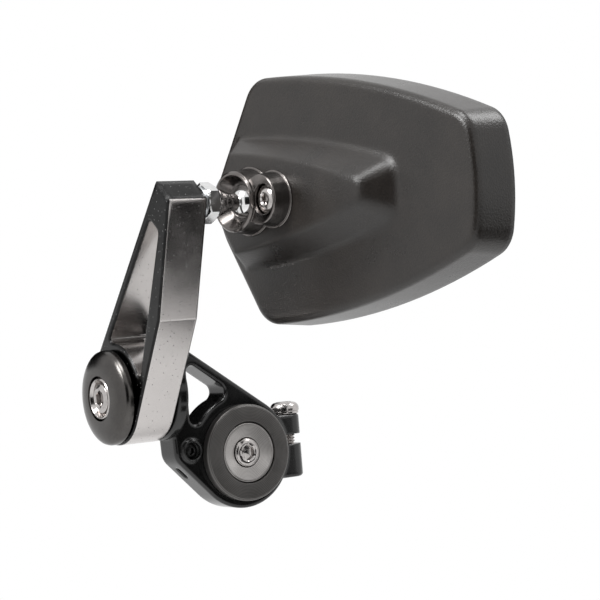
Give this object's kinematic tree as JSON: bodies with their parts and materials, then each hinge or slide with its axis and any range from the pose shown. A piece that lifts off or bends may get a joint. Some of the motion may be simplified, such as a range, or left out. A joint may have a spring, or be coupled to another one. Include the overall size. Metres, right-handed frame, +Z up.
{
  "type": "motorcycle bar end mirror",
  "caption": "Mirror for the end of a motorcycle handlebar: a shield-shaped head on a ball joint, carried by a windowed folding arm and a clamp ring on an expanding bar end plug.",
  "frame": {"origin": "on the handlebar's axis, at the shoulder of the adapter that meets the bar's end", "axes": "+X out of the bar's end, -Y forwards on the motorcycle, +Z up"},
  "size_m": [0.1579, 0.0802, 0.1483],
  "materials": {
    "black_anodised": "black anodised, half gloss",
    "grey_anodised": "dark grey anodised, satin",
    "turned_aluminium": "turned, satin",
    "bright_chrome": "bright plated",
    "zinc_steel": "zinc plated",
    "black_steel": "black oxide",
    "rubber": "matt",
    "friction_plastic": "matt",
    "seat_plastic": "smooth",
    "black_gloss": "gloss",
    "brass": "knurled",
    "moulded_black": "fine grain, matt",
    "mirror_glass": "silvered"
  },
  "bodies": {
    "bar_end": {"bar_end_adapter": "grey_anodised", "dished_washer": "turned_aluminium", "expander_screw": "bright_chrome", "expander_bush": "rubber", "expander_nut": "zinc_steel"},
    "bracket": {"clamp_bracket": "black_anodised", "pinch_screw": "bright_chrome", "pinch_washer": "bright_chrome", "bracket_set_screw": "black_steel", "pivot_spacer": "zinc_steel", "inner_friction_washer": "friction_plastic", "outer_friction_washer": "friction_plastic", "pivot_cap": "black_anodised", "pivot_cup_washer": "bright_chrome", "pivot_screw": "bright_chrome"},
    "arm": {"arm": "black_anodised", "ball_stud": "bright_chrome", "stud_lock_washer": "zinc_steel"},
    "ball_seat": {"ball_seat": "seat_plastic"},
    "seat_pad": {"seat_pad": "rubber"},
    "head": {"ball_clamp": "black_gloss", "clamp_screw": "bright_chrome", "clamp_insert": "brass", "mirror_housing": "moulded_black", "glass_pad": "rubber", "mirror_glass": "mirror_glass"}
  },
  "joints": [
    {"name": "bracket_turn", "type": "hinge", "parent": "bar_end", "child": "bracket", "pos_m": [0, 0, 0], "axis": [1, 0, 0], "range_deg": [-90, 90]},
    {"name": "arm_fold", "type": "hinge", "parent": "bracket", "child": "arm", "pos_m": [0.006, -0.0312, 0.0237], "axis": [0, 1, 0], "range_deg": [-75, 60]},
    {"name": "head_pan", "type": "hinge", "parent": "arm", "child": "ball_seat", "pos_m": [0.04549, -0.0113, 0.08569], "axis": [0, 0, 1], "range_deg": [-20, 6]},
    {"name": "head_tilt", "type": "hinge", "parent": "ball_seat", "child": "seat_pad", "pos_m": [0.04549, -0.0113, 0.08569], "axis": [0.9919, 0.1218, -0.0349], "range_deg": [-14, 14]},
    {"name": "head_roll", "type": "hinge", "parent": "seat_pad", "child": "head", "pos_m": [0.04549, -0.0113, 0.08569], "axis": [0.1219, -0.9925, 0], "range_deg": [-15, 15]}
  ]
}
